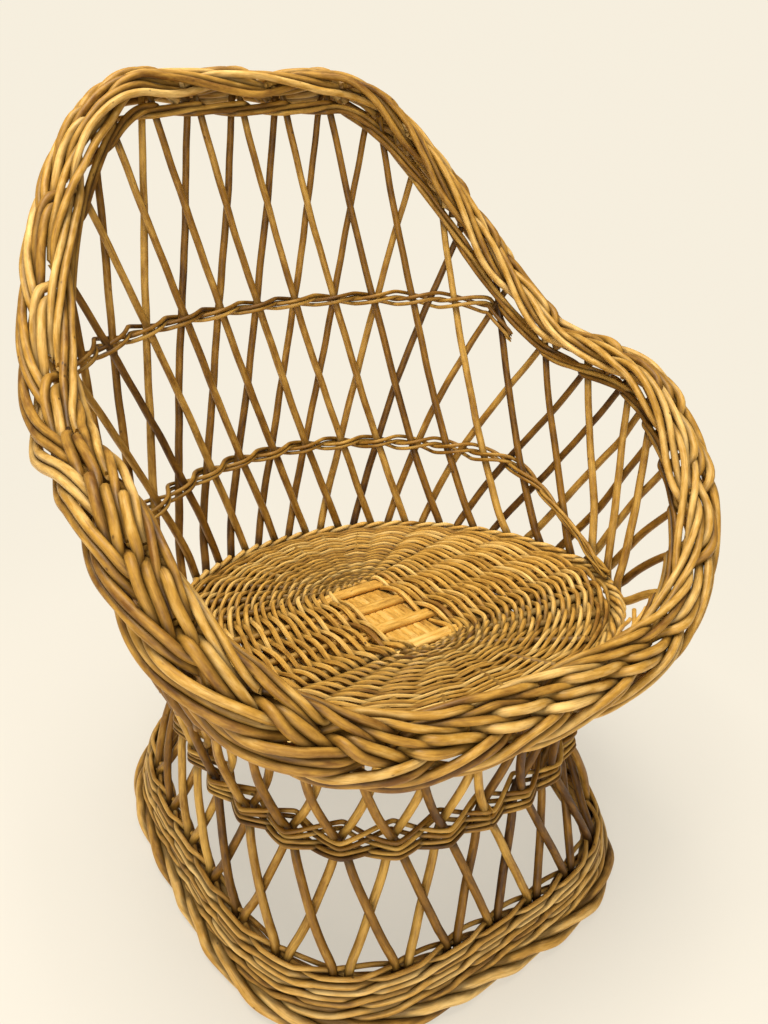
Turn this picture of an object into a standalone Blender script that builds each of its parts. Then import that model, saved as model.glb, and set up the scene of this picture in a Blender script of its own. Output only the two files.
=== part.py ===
"""Child's wicker tub chair: open stake lattice, woven seat and flared foot, all of round rods.

Metres, +Z up, the front faces -Y. The origin is the middle of the chair's plan, on the floor.
"""

import math

import bmesh
import bpy
from mathutils import Vector

# Clearance between rods that bear on each other
GAP = 0.0003

# Small turn, or height share, over which a slope is measured
STEP = 0.01

# The plait stands out further behind the back than before the front: half the difference
PLAN_SHIFT = 0.0022

# Rim: centreline of the plaited border, measured from the core of the tub
RIM_HALF_WIDTH = 0.1955
RIM_BACK_REACH = 0.2445
RIM_FRONT_REACH = 0.1440
RIM_SQUARENESS = 2.72
BACK_HEIGHT = 0.530
ARM_HEIGHT = 0.364
FRONT_HEIGHT = 0.2446
BACK_FALL = (math.radians(21.5), math.radians(76))
FRONT_FALL = (math.radians(83.5), math.radians(159.4))

# Plaited border: three strands that take turns at the outer edge
PLAIT_STRANDS = 3
PLAIT_STRAND = 0.0105
PLAIT_SWING = 0.0140
PLAIT_LIFT = 0.0082
PLAIT_PITCH = 0.090
PLAIT_STEPS = 6
RIM_SAMPLES = 1440

# Seat ring: where the stakes of the back and arms leave the seat
SEAT_HALF_WIDTH = 0.165
SEAT_BACK_REACH = 0.181
SEAT_FRONT_REACH = 0.122
SEAT_HEIGHT = 0.2076
SEAT_SLOPE = 0.149
SEAT_SQUARENESS = 2.0
HOOP_DIAMETER = 0.0090
SKIN_THICKNESS = 0.0028
SEAT_SPOKES = 26
SEAT_ROWS = 28
WEAVE_VALLEY = 0.0012
WEAVE_CROWN = 0.0042
WINDOW_WIDTH = 0.058
WINDOW_LENGTH = 0.084
WINDOW_SQUARENESS = 6.0
STICK_THICKNESS = 0.0040
STICK_WIDTH = 0.0085
LONG_STICKS = 4
LONG_STICK_PITCH = 0.0095
CROSS_STICKS = 4
CROSS_STICK_PITCH = 0.021
STICK_EASE = 0.002
STICK_ROUNDING = 0.0007

# Stakes of the back and arms: pairs that lean apart and cross their neighbours
STAKE_DIAMETER = 0.0064
STAKE_SPACING = math.radians(10)
STAKE_PAIRS = 25
STAKE_START = 0.15
LEAN_RATE = 3.95
LEAN_EASE = 1.10
ARM_LEAN = 0.70
ARM_LEAN_START = math.radians(50)
ARM_LEAN_END = math.radians(95)
STAKE_CROSSINGS = 5

# Rows that bind the crossings
COLLAR_DIAMETER = 0.0080
COLLAR_POINTS = 40
FITCH_DIAMETER = 0.0055
FITCH_STEP = math.radians(10)
UPPER_FITCH_HEIGHT = 0.377
UPPER_FITCH_END = math.radians(60)
LOWER_FITCH_HEIGHT = 0.261
LOWER_FITCH_END = math.radians(110)
LOWER_FITCH_FALL = math.radians(60)

# Base: outer sizes of the foot band and of the waist row
BASE_SETBACK = 0.0368
FOOT_HALF_WIDTH = 0.1668
FOOT_HALF_DEPTH = 0.1804
BAND_HALF_WIDTH = 0.1582
BAND_HALF_DEPTH = 0.1719
FOOT_SQUARENESS = 3.4
WAIST_HALF_WIDTH = 0.1485
WAIST_HALF_DEPTH = 0.1465
WAIST_SQUARENESS = 2.4
WAIST_HEIGHT = 0.130
BASE_STAKE_DIAMETER = 0.0067
BASE_PAIRS = 27
BASE_LOOPS = 3
BASE_RUN = 5
BASE_START = 0.16
BASE_TOP_LEAN = 1.67
BASE_TOP_EASE = 2.2
WAIST_DIAMETER = 0.0055
FOOT_ROW_DIAMETER = 0.0076
FOOT_ROWS = 4
FOOT_BORDER_DIAMETER = 0.0125
FOOT_BORDER_POINTS = 36
FLAT_DEPTH = 0.0005

# Sizes that follow from those above
CORE_Y = (RIM_FRONT_REACH - RIM_BACK_REACH) / 2 - PLAN_SHIFT
PLAIT_HALF_THICKNESS = PLAIT_LIFT * math.sin(math.radians(60)) + PLAIT_STRAND / 2
STAKE_LAYER = STAKE_DIAMETER / 2 + GAP
STAKE_SKIN = STAKE_DIAMETER + GAP
BASE_LAYER = BASE_STAKE_DIAMETER / 2 + GAP
BASE_SKIN = BASE_STAKE_DIAMETER + GAP
HOOP_INSET = STAKE_DIAMETER / 2 + GAP + HOOP_DIAMETER / 2
SPOKE_SHIFT = (SEAT_BACK_REACH - SEAT_FRONT_REACH) / 2 / SEAT_HALF_WIDTH
ROW_OFFSET = BASE_STAKE_DIAMETER / 2 + GAP + FOOT_ROW_DIAMETER / 2
BAND_INSET = ROW_OFFSET + FOOT_ROW_DIAMETER / 2
WAIST_INSET = BASE_SKIN + GAP + WAIST_DIAMETER
FOOT_BORDER_TOP = FOOT_BORDER_DIAMETER - FLAT_DEPTH
BAND_HEIGHT = FOOT_BORDER_TOP + FOOT_ROWS * (FOOT_ROW_DIAMETER + GAP)
FOOT_BORDER_OFFSET = (FOOT_BORDER_DIAMETER + GAP) / 2
FOOT_BORDER_HEIGHT = FOOT_BORDER_DIAMETER / 2 - FLAT_DEPTH
FOOT_BEARING = (FOOT_BORDER_DIAMETER + BASE_STAKE_DIAMETER) / 2 + GAP
FOOT_VALLEY = FOOT_BORDER_HEIGHT + math.sqrt(FOOT_BEARING ** 2 - FOOT_BORDER_OFFSET ** 2)
BASE_Y = CORE_Y + BASE_SETBACK
BASE_SPACING = 2 * math.pi / BASE_PAIRS

# Material name: colour and roughness
FINISHES = {
    "plait_willow": ((0.52, 0.30, 0.10, 1.0), 0.42),
    "stake_willow": ((0.36, 0.19, 0.06, 1.0), 0.45),
    "seat_willow": ((0.56, 0.34, 0.12, 1.0), 0.45),
    "foot_willow": ((0.33, 0.17, 0.06, 1.0), 0.50),
}


def clear_scene():
    for old in list(bpy.data.objects):
        bpy.data.objects.remove(old)


def make_materials():
    made = {}
    for name, (colour, roughness) in FINISHES.items():
        material = bpy.data.materials.new(name)
        material.use_nodes = True
        shader = material.node_tree.nodes["Principled BSDF"]
        shader.inputs["Base Color"].default_value = colour
        shader.inputs["Roughness"].default_value = roughness
        shader.inputs["Metallic"].default_value = 0.0
        made[name] = material
    return made


def add_object(name, data, finish):
    data.materials.append(materials[finish])
    made = bpy.data.objects.new(name, data)
    made.parent = chair
    bpy.context.scene.collection.objects.link(made)
    return made


def smooth(start, end, value):
    share = min(max((value - start) / (end - start), 0.0), 1.0)
    return share * share * (3 - 2 * share)


def tube(name, points, diameter, finish, closed=False, roundness=1):
    """One rod along a row of points, with flat ends unless it closes on itself."""
    curve = bpy.data.curves.new(name, "CURVE")
    curve.dimensions = "3D"
    curve.bevel_depth = diameter / 2
    curve.bevel_resolution = roundness
    curve.use_fill_caps = True
    spline = curve.splines.new("POLY")
    spline.points.add(len(points) - 1)
    for spot, point in zip(spline.points, points):
        spot.co = (*point, 1.0)
    spline.use_cyclic_u = closed
    return add_object(name, curve, finish)


def let_out(points, closed):
    """Points moved off the hollow side, so that the chords between them stay clear of the true curve."""
    moved = []
    for i, point in enumerate(points):
        before = points[i - 1] if closed or i > 0 else None
        after = points[(i + 1) % len(points)] if closed or i + 1 < len(points) else None
        if before is None or after is None:
            moved.append(point)
        else:
            moved.append(point + (point - (before + after) / 2) / 4)
    return moved


# The tub's surface runs straight from the seat ring up to the rim. Angles start at the
# middle of the back and grow towards +X.
def plan_point(angle, half_width, back_reach, front_reach, squareness):
    across = math.sin(angle)
    along = math.cos(angle)
    size = (abs(across) ** squareness + abs(along) ** squareness) ** (1 / squareness)
    reach = back_reach if along > 0 else front_reach
    return Vector((half_width * across / size, CORE_Y + reach * along / size, 0.0))


def rim_point(angle):
    point = plan_point(angle, RIM_HALF_WIDTH, RIM_BACK_REACH, RIM_FRONT_REACH, RIM_SQUARENESS)
    turn = abs(math.remainder(angle, 2 * math.pi))
    arm = (ARM_HEIGHT - FRONT_HEIGHT) * (1 - smooth(*FRONT_FALL, turn))
    back = (BACK_HEIGHT - ARM_HEIGHT) * (1 - smooth(*BACK_FALL, turn))
    point.z = FRONT_HEIGHT + arm + back
    return point


def seat_level(y):
    return SEAT_HEIGHT - SEAT_SLOPE * (y - CORE_Y)


def seat_point(angle):
    point = plan_point(angle, SEAT_HALF_WIDTH, SEAT_BACK_REACH, SEAT_FRONT_REACH, SEAT_SQUARENESS)
    point.z = seat_level(point.y)
    return point


def wall_point(angle, rise):
    return seat_point(angle).lerp(rim_point(angle), rise)


def wall_length(angle):
    return (rim_point(angle) - seat_point(angle)).length


def wall_spot(angle, rise, offset):
    """A point of the tub's surface, moved out along its normal."""
    along = wall_point(angle + STEP, rise) - wall_point(angle - STEP, rise)
    up = rim_point(angle) - seat_point(angle)
    return wall_point(angle, rise) + up.cross(along).normalized() * offset


def rise_under_rim(angle, distance):
    """Height share of the point that lies this far under the rim, measured square to it."""
    along = (rim_point(angle + STEP) - rim_point(angle - STEP)).normalized()
    up = rim_point(angle) - seat_point(angle)
    return 1 - distance / (up - along * up.dot(along)).length


def hoop_point(angle):
    return wall_spot(angle, 0.0, -HOOP_INSET)


# Stakes of the back and arms
def lean_share(middle):
    """Stakes lean less in the arms, where the wall is lower."""
    return 1 - (1 - ARM_LEAN) * smooth(ARM_LEAN_START, ARM_LEAN_END, abs(middle))


def lean(rise, middle):
    return STAKE_START + lean_share(middle) * (LEAN_RATE * rise - LEAN_EASE * rise * rise)


def rise_at(spacings, middle):
    """Height share at which a stake has leaned by this many spacings."""
    root = LEAN_RATE ** 2 - 4 * LEAN_EASE * (spacings - STAKE_START) / lean_share(middle)
    return (LEAN_RATE - math.sqrt(max(root, 0.0))) / (2 * LEAN_EASE)


def tip_rise(middle, side):
    """Height share at which a stake stops, just under the plait, found by halving the range."""
    room = PLAIT_HALF_THICKNESS + GAP + STAKE_DIAMETER / 2
    halvings = 40
    low = 0.0
    high = 1.0
    for _ in range(halvings):
        rise = (low + high) / 2
        angle = middle + side * STAKE_SPACING * lean(rise, middle)
        if rise < rise_under_rim(angle, room):
            low = rise
        else:
            high = rise
    return low


def stake_leg(middle, side):
    """Points from the seat up. The leg that leans to -X runs inside, the other outside."""
    bottom = (STAKE_DIAMETER - HOOP_DIAMETER) / 2 / wall_length(middle)
    points = [wall_spot(middle + side * STAKE_SPACING * STAKE_START, bottom, 0.0)]
    tip = tip_rise(middle, side)
    bends = [crossing / 2 for crossing in range(1, STAKE_CROSSINGS + 1)]
    bends.append(bends[-1] + 0.35)
    nearest = 0.08
    rises = [rise_at(spacings, middle) for spacings in bends]
    for rise in [rise for rise in rises if rise < tip - nearest] + [tip]:
        angle = middle + side * STAKE_SPACING * lean(rise, middle)
        points.append(wall_spot(angle, rise, side * STAKE_LAYER))
    return points


def make_stakes():
    for i in range(STAKE_PAIRS):
        middle = (i - (STAKE_PAIRS - 1) / 2) * STAKE_SPACING
        left = stake_leg(middle, -1)
        right = stake_leg(middle, 1)
        points = left[::-1] + right
        tube(f"upper_stake_pair_{i + 1:02d}", points, STAKE_DIAMETER, "stake_willow")


# Plaited border and the rows that bind the stakes
def rim_stations(count):
    """Angles that part the rim into equal lengths."""
    turns = [2 * math.pi * i / RIM_SAMPLES for i in range(RIM_SAMPLES + 1)]
    reached = [0.0]
    for a, b in zip(turns, turns[1:]):
        reached.append(reached[-1] + (rim_point(b) - rim_point(a)).length)
    stations = []
    i = 0
    for n in range(count):
        target = reached[-1] * n / count
        while reached[i + 1] < target:
            i += 1
        share = (target - reached[i]) / (reached[i + 1] - reached[i])
        stations.append(turns[i] + share * (turns[i + 1] - turns[i]))
    return stations, reached[-1]


def plait_point(angle, phase):
    along = (rim_point(angle + STEP) - rim_point(angle - STEP)).normalized()
    up = rim_point(angle) - seat_point(angle)
    up = (up - along * up.dot(along)).normalized()
    outward = up.cross(along)
    swing = outward * PLAIT_SWING * math.sin(phase)
    return rim_point(angle) + swing + up * PLAIT_LIFT * math.sin(2 * phase)


def make_border():
    length = rim_stations(1)[1]
    turns = round(length / PLAIT_PITCH)
    stations = rim_stations(turns * PLAIT_STEPS)[0]
    for strand in range(PLAIT_STRANDS):
        points = []
        for i, angle in enumerate(stations):
            phase = 2 * math.pi * ((i + 0.5) / PLAIT_STEPS + strand / PLAIT_STRANDS)
            points.append(plait_point(angle, phase))
        tube(f"border_strand_{strand + 1}", points, PLAIT_STRAND, "plait_willow", closed=True)


def make_collar():
    drop = PLAIT_HALF_THICKNESS + GAP + COLLAR_DIAMETER / 2
    offset = STAKE_SKIN + GAP + COLLAR_DIAMETER / 2
    for place, side in (("inner", -1), ("outer", 1)):
        points = []
        for i in range(COLLAR_POINTS):
            angle = 2 * math.pi * i / COLLAR_POINTS
            points.append(wall_spot(angle, rise_under_rim(angle, drop), side * offset))
        if side > 0:
            points = let_out(points, closed=True)
        tube(f"collar_strand_{place}", points, COLLAR_DIAMETER, "stake_willow", closed=True)


def upper_fitch_rise(angle):
    low = seat_point(angle).z
    level = (UPPER_FITCH_HEIGHT - low) / (rim_point(angle).z - low)
    drop = PLAIT_HALF_THICKNESS + COLLAR_DIAMETER + 4 * GAP + FITCH_DIAMETER / 2
    return min(level, rise_under_rim(angle, drop))


def lower_fitch_rise(angle):
    low = seat_point(angle).z
    level = (LOWER_FITCH_HEIGHT - low) / (rim_point(angle).z - low)
    edge = (HOOP_DIAMETER / 2 + FITCH_DIAMETER / 2 + 2 * GAP) / wall_length(angle)
    return level + (edge - level) * smooth(LOWER_FITCH_FALL, LOWER_FITCH_END, abs(angle))


def make_fitch(name, end, rise_of, room):
    offset = STAKE_SKIN + room + FITCH_DIAMETER / 2
    steps = round(2 * end / FITCH_STEP)
    for place, side in (("inner", -1), ("outer", 1)):
        points = []
        for i in range(steps + 1):
            angle = end * (2 * i / steps - 1)
            points.append(wall_spot(angle, rise_of(angle), side * offset))
        if side > 0:
            points = let_out(points, closed=False)
        tube(f"{name}_{place}", points, FITCH_DIAMETER, "stake_willow")


# Seat: a hoop, flat sticks both ways, and a woven skin above and below them
def make_hoop():
    steps = round(2 * math.pi / STAKE_SPACING)
    points = [hoop_point(2 * math.pi * i / steps) for i in range(steps)]
    tube("seat_hoop", points, HOOP_DIAMETER, "seat_willow", closed=True)


def seat_middle():
    side = hoop_point(math.pi / 2)
    lift = side.z - seat_level(side.y)
    y = (hoop_point(0.0).y + hoop_point(math.pi).y) / 2
    return Vector((0.0, y, seat_level(y) + lift))


def skin_edge(angle, inset=HOOP_DIAMETER / 2 + GAP):
    """A point inside the hoop, brought to the seat's plane."""
    along = hoop_point(angle + STEP) - hoop_point(angle - STEP)
    inward = Vector((along.y, -along.x, 0.0)).normalized()
    point = hoop_point(angle) + inward * inset
    middle = seat_middle()
    point.z = middle.z - SEAT_SLOPE * (point.y - middle.y)
    return point


def window_edge(angle):
    across = math.sin(angle)
    along = math.cos(angle)
    size = (abs(across) ** WINDOW_SQUARENESS + abs(along) ** WINDOW_SQUARENESS) ** (1 / WINDOW_SQUARENESS)
    middle = seat_middle()
    shift = WINDOW_LENGTH / 2 * along / size
    return middle + Vector((WINDOW_WIDTH / 2 * across / size, shift, -SEAT_SLOPE * shift))


def spoke_spot(turn, share, inset):
    """A point of a spoke, which fans from the window's edge out to the hoop."""
    far = skin_edge(turn - SPOKE_SHIFT * math.sin(turn), inset)
    return window_edge(turn).lerp(far, share)


def weave_loop(shape, share, inset, heights):
    """One row of the weave, at two heights by turns."""
    loop = []
    for i in range(SEAT_SPOKES):
        spot = spoke_spot(2 * math.pi * i / SEAT_SPOKES, share, inset)
        spot.z += heights[i % 2]
        loop.append(shape.verts.new(spot))
    return loop


def make_weave(name, lowest, inset, rows):
    """A woven layer round the bare sticks: each row goes over and under the spokes by turns."""
    shape = bmesh.new()
    loops = [weave_loop(shape, share, inset, (lowest, lowest)) for share in (1.0, 0.0)]
    for row in range(rows + 1):
        heights = (WEAVE_CROWN, WEAVE_VALLEY) if row % 2 else (WEAVE_VALLEY, WEAVE_CROWN)
        if row in (0, rows):
            heights = (SKIN_THICKNESS, SKIN_THICKNESS)
        loops.append(weave_loop(shape, row / rows, inset, [lowest + height for height in heights]))
    for low, high in zip(loops, loops[1:] + loops[:1]):
        for i in range(SEAT_SPOKES):
            j = (i + 1) % SEAT_SPOKES
            shape.faces.new((low[i], low[j], high[j], high[i]))
    bmesh.ops.recalc_face_normals(shape, faces=shape.faces[:])
    mesh = bpy.data.meshes.new(name)
    shape.to_mesh(mesh)
    shape.free()
    add_object(name, mesh, "seat_willow")


def make_stick(name, size, place):
    shape = bmesh.new()
    bmesh.ops.create_cube(shape, size=1.0)
    bmesh.ops.scale(shape, vec=size, verts=shape.verts[:])
    mesh = bpy.data.meshes.new(name)
    shape.to_mesh(mesh)
    shape.free()
    stick = add_object(name, mesh, "seat_willow")
    stick.location = place
    stick.rotation_euler.x = -math.atan(SEAT_SLOPE)
    rounding = stick.modifiers.new("edges", "BEVEL")
    rounding.width = STICK_ROUNDING
    rounding.segments = 1


def make_sticks():
    middle = seat_middle()
    edge = [skin_edge(math.radians(turn)) for turn in range(360)]
    tilt = math.cos(math.atan(SEAT_SLOPE))
    layer = (STICK_THICKNESS + GAP) / 2 / tilt
    for i in range(LONG_STICKS):
        x = (i - (LONG_STICKS - 1) / 2) * LONG_STICK_PITCH
        ends = [abs(spot.y - middle.y) for spot in edge if abs(spot.x - x) < STICK_WIDTH]
        size = (STICK_WIDTH, 2 * (min(ends) - STICK_EASE) / tilt, STICK_THICKNESS)
        make_stick(f"seat_long_stick_{i + 1}", size, middle + Vector((x, 0.0, -layer)))
    for i in range(CROSS_STICKS):
        y = (i - (CROSS_STICKS - 1) / 2) * CROSS_STICK_PITCH
        ends = [abs(spot.x) for spot in edge if abs(spot.y - middle.y - y) < STICK_WIDTH]
        size = (2 * (min(ends) - STICK_EASE), STICK_WIDTH, STICK_THICKNESS)
        make_stick(f"seat_cross_stick_{i + 1}", size, middle + Vector((0.0, y, layer - SEAT_SLOPE * y)))
    top = (STICK_THICKNESS + GAP) / tilt + GAP
    inset = HOOP_DIAMETER / 2 + GAP
    make_weave("seat_weave_top", top, inset, SEAT_ROWS)
    make_weave("seat_weave_under", -top - SKIN_THICKNESS, inset + BASE_STAKE_DIAMETER, 1)


# Base: angles start at the middle of the front and grow towards +X. Height shares run from
# -1 at the floor and 0 at the top of the foot band to 1 at the waist row and 1.5 under the seat.
WAIST_RISE = 1
SEAT_RISE = 1.5


def base_plan(angle, half_width, half_depth, squareness, height):
    across = math.sin(angle)
    along = math.cos(angle)
    size = (abs(across) ** squareness + abs(along) ** squareness) ** (1 / squareness)
    return Vector((half_width * across / size, BASE_Y - half_depth * along / size, height))


def base_top(angle):
    point = hoop_point(math.pi - angle)
    point.z -= HOOP_DIAMETER / 2 + GAP + BASE_STAKE_DIAMETER / 2
    return point


def base_point(angle, rise):
    band = base_plan(
        angle, BAND_HALF_WIDTH - BAND_INSET, BAND_HALF_DEPTH - BAND_INSET, FOOT_SQUARENESS, BAND_HEIGHT
    )
    if rise <= 0:
        floor = base_plan(
            angle, FOOT_HALF_WIDTH - BAND_INSET, FOOT_HALF_DEPTH - BAND_INSET, FOOT_SQUARENESS, 0.0
        )
        return band.lerp(floor, -rise)
    waist = base_plan(
        angle, WAIST_HALF_WIDTH - WAIST_INSET, WAIST_HALF_DEPTH - WAIST_INSET, WAIST_SQUARENESS, WAIST_HEIGHT
    )
    if rise <= WAIST_RISE:
        return band.lerp(waist, rise / WAIST_RISE)
    return waist.lerp(base_top(angle), (rise - WAIST_RISE) / (SEAT_RISE - WAIST_RISE))


def base_spot(angle, rise, offset):
    """A point of the base's surface, moved out along its normal."""
    along = base_point(angle + STEP, rise) - base_point(angle - STEP, rise)
    up = base_point(angle, rise + STEP) - base_point(angle, rise - STEP)
    if rise >= SEAT_RISE:
        up = Vector((0.0, 0.0, 1.0))
    return base_point(angle, rise) + along.cross(up).normalized() * offset


def base_lean(rise):
    """Spacings that a stake has leaned: evenly up to the waist, then quickly past its neighbour."""
    if rise <= WAIST_RISE:
        return rise
    left = (SEAT_RISE - rise) / (SEAT_RISE - WAIST_RISE)
    return BASE_TOP_LEAN - (BASE_TOP_LEAN - WAIST_RISE) * left ** BASE_TOP_EASE


def base_leg(pair, side):
    """Points from the foot up. The leg that leans to -X at the front runs outside, the other inside."""
    foot = FOOT_VALLEY / BAND_HEIGHT - 1
    start = BASE_SPACING * (pair + side * BASE_START)
    points = [base_spot(start, foot, 0.0), base_spot(start, 0.0, 0.0)]
    for rise in (WAIST_RISE / 2, WAIST_RISE, WAIST_RISE + 0.09, WAIST_RISE + 0.23, WAIST_RISE + 0.35):
        points.append(base_spot(BASE_SPACING * (pair + side * base_lean(rise)), rise, -side * BASE_LAYER))
    points.append(base_top(BASE_SPACING * (pair + side * BASE_TOP_LEAN)))
    return points


def make_base_stakes():
    """Each run is one rod bent up and down: every third pair of the foot, joined under the seat."""
    pairs = BASE_PAIRS // BASE_LOOPS
    number = 0
    for loop in range(BASE_LOOPS):
        for first in range(0, pairs, BASE_RUN):
            points = []
            for turn in range(first, min(first + BASE_RUN, pairs)):
                pair = loop + BASE_LOOPS * turn
                points += base_leg(pair, -1)[::-1] + base_leg(pair, 1)
            number += 1
            tube(f"base_stake_run_{number}", points, BASE_STAKE_DIAMETER, "stake_willow")


def make_waist():
    offset = BASE_SKIN + GAP + WAIST_DIAMETER / 2
    for place, side in (("inner", -1), ("outer", 1)):
        points = [base_spot(BASE_SPACING * i, WAIST_RISE, side * offset) for i in range(BASE_PAIRS)]
        tube(f"waist_wale_{place}", points, WAIST_DIAMETER, "stake_willow", closed=True)


def foot_ring(rise, offset, count):
    points = [base_spot(2 * math.pi * (i + 0.5) / count, rise, offset) for i in range(count)]
    return let_out(points, closed=True) if offset > 0 else points


def make_foot_rows():
    for i in range(FOOT_ROWS):
        height = FOOT_BORDER_TOP + GAP + FOOT_ROW_DIAMETER / 2 + i * (FOOT_ROW_DIAMETER + GAP)
        rise = height / BAND_HEIGHT - 1
        points = foot_ring(rise, ROW_OFFSET, BASE_PAIRS)
        tube(f"foot_row_outer_{i + 1}", points, FOOT_ROW_DIAMETER, "foot_willow", closed=True)
        if i == FOOT_ROWS // 2:
            points = [base_spot(BASE_SPACING * k, rise, -ROW_OFFSET) for k in range(BASE_PAIRS)]
            tube("foot_row_inner", points, FOOT_ROW_DIAMETER, "foot_willow", closed=True)


def make_foot_border():
    """Two thick rods side by side, cut flat where the chair stands."""
    rise = FOOT_BORDER_HEIGHT / BAND_HEIGHT - 1
    floor_mesh = bpy.data.meshes.new("floor_cutter")
    shape = bmesh.new()
    bmesh.ops.create_cube(shape, size=1.0)
    bmesh.ops.translate(shape, vec=(0.0, 0.0, -0.5), verts=shape.verts[:])
    shape.to_mesh(floor_mesh)
    shape.free()
    cutter = bpy.data.objects.new("floor_cutter", floor_mesh)
    cutter.parent = chair
    cutter.hide_render = True
    cutter.display_type = "WIRE"
    bpy.context.scene.collection.objects.link(cutter)
    for place, side in (("inner", -1), ("outer", 1)):
        name = f"foot_border_{place}"
        points = []
        for i in range(FOOT_BORDER_POINTS):
            angle = 2 * math.pi * i / FOOT_BORDER_POINTS
            spot = base_point(angle, rise)
            outward = base_spot(angle, rise, 1.0) - spot
            outward.z = 0.0
            points.append(spot + outward.normalized() * side * FOOT_BORDER_OFFSET)
        rod = tube(name + "_rod", points, FOOT_BORDER_DIAMETER, "foot_willow", closed=True, roundness=2)
        bpy.context.view_layer.update()
        mesh = bpy.data.meshes.new_from_object(rod)
        mesh.name = name
        bpy.data.objects.remove(rod)
        border = bpy.data.objects.new(name, mesh)
        border.parent = chair
        bpy.context.scene.collection.objects.link(border)
        cut = border.modifiers.new("flat", "BOOLEAN")
        cut.operation = "DIFFERENCE"
        cut.object = cutter


clear_scene()
materials = make_materials()
chair = bpy.data.objects.new("chair", None)
bpy.context.scene.collection.objects.link(chair)
make_stakes()
make_border()
make_collar()
make_fitch("upper_fitch", UPPER_FITCH_END, upper_fitch_rise, 2 * GAP)
make_fitch("lower_fitch", LOWER_FITCH_END, lower_fitch_rise, GAP)
make_hoop()
make_sticks()
make_base_stakes()
make_waist()
make_foot_rows()
make_foot_border()
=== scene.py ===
import math

import bmesh
import bpy
import numpy as np
from mathutils import Matrix, Vector, kdtree


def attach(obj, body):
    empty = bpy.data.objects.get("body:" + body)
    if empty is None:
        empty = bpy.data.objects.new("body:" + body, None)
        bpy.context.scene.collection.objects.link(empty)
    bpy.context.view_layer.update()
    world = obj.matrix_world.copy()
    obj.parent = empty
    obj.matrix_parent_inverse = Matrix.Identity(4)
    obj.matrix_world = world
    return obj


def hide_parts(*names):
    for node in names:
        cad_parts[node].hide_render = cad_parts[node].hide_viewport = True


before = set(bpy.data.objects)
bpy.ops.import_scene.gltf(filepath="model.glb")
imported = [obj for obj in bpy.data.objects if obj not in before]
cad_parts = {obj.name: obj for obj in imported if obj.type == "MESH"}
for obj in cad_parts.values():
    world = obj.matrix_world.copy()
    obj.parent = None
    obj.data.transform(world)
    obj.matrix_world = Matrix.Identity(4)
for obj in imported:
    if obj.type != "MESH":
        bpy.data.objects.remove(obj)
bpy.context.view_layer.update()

chance = np.random.default_rng(24)  # one seeded source for every natural irregularity
fullTurn = 2 * math.pi
print("frame:", len(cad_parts), "nodes")


# Tub surface from the seat ring up to the rim: angle 0 is the back and grows towards +X
tub = {
    "rim": (0.1955, 0.2445, 0.1440, 2.72),  # half width, reach to the back and to the front, squareness
    "seat": (0.165, 0.181, 0.122, 2.0),
    "coreY": -0.05245,
    "heights": (0.530, 0.364, 0.2446),  # of the rim at the back, the arms and the front
    "backFall": (21.5, 76),
    "frontFall": (83.5, 159.4),
    "seatHeight": 0.2076,
    "seatSlope": 0.149,
    "step": 0.01,
    "stations": 2880,
}


def smooth(start, end, value):
    share = np.clip((value - start) / (end - start), 0, 1)
    return share * share * (3 - 2 * share)


def unit(vectors):
    return vectors / np.linalg.norm(vectors, axis=-1, keepdims=True)


def squareRound(angle, square):
    across = np.sin(angle)
    along = np.cos(angle)
    return across, along, (np.abs(across) ** square + np.abs(along) ** square) ** (1 / square)


def planPoint(angle, plan):
    half, back, front, square = plan
    across, along, size = squareRound(angle, square)
    reach = np.where(along > 0, back, front)
    return np.stack([half * across / size, tub["coreY"] + reach * along / size, 0 * size], axis=-1)


def rimPoint(angle):
    spot = planPoint(angle, tub["rim"])
    turn = np.degrees(np.abs((np.asarray(angle) + math.pi) % fullTurn - math.pi))
    back, arm, front = tub["heights"]
    spot[..., 2] = front + (arm - front) * (1 - smooth(*tub["frontFall"], turn))
    spot[..., 2] += (back - arm) * (1 - smooth(*tub["backFall"], turn))
    return spot


def seatLevel(y):
    return tub["seatHeight"] - tub["seatSlope"] * (y - tub["coreY"])


def seatPoint(angle):
    spot = planPoint(angle, tub["seat"])
    spot[..., 2] = seatLevel(spot[..., 1])
    return spot


def wallPoint(angle, rise):
    low = seatPoint(angle)
    return low + (rimPoint(angle) - low) * np.asarray(rise)[..., None]


def wallSpot(angle, rise, out):
    angle = np.asarray(angle, float)
    rise = np.broadcast_to(rise, angle.shape)
    along = wallPoint(angle + tub["step"], rise) - wallPoint(angle - tub["step"], rise)
    normal = unit(np.cross(rimPoint(angle) - seatPoint(angle), along))
    return wallPoint(angle, rise) + normal * np.broadcast_to(out, angle.shape)[..., None]


# Place on the rim, directions along, up and out there, and the height of the wall below
def rimFrame(angle):
    along = unit(rimPoint(angle + tub["step"]) - rimPoint(angle - tub["step"]))
    up = rimPoint(angle) - seatPoint(angle)
    up = up - along * np.sum(up * along, axis=-1, keepdims=True)
    return rimPoint(angle), along, unit(up), unit(np.cross(up, along)), np.linalg.norm(up, axis=-1)


def wallHeight(angle):
    return rimFrame(angle)[-1]


def riseUnderRim(angle, drop):
    return 1 - drop / wallHeight(angle)


rimAngles = np.linspace(0, fullTurn, tub["stations"] + 1)
rimSteps = np.linalg.norm(np.diff(rimPoint(rimAngles), axis=0), axis=1)
rimReached = np.concatenate([[0], np.cumsum(rimSteps)])
rimLength = rimReached[-1]


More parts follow.
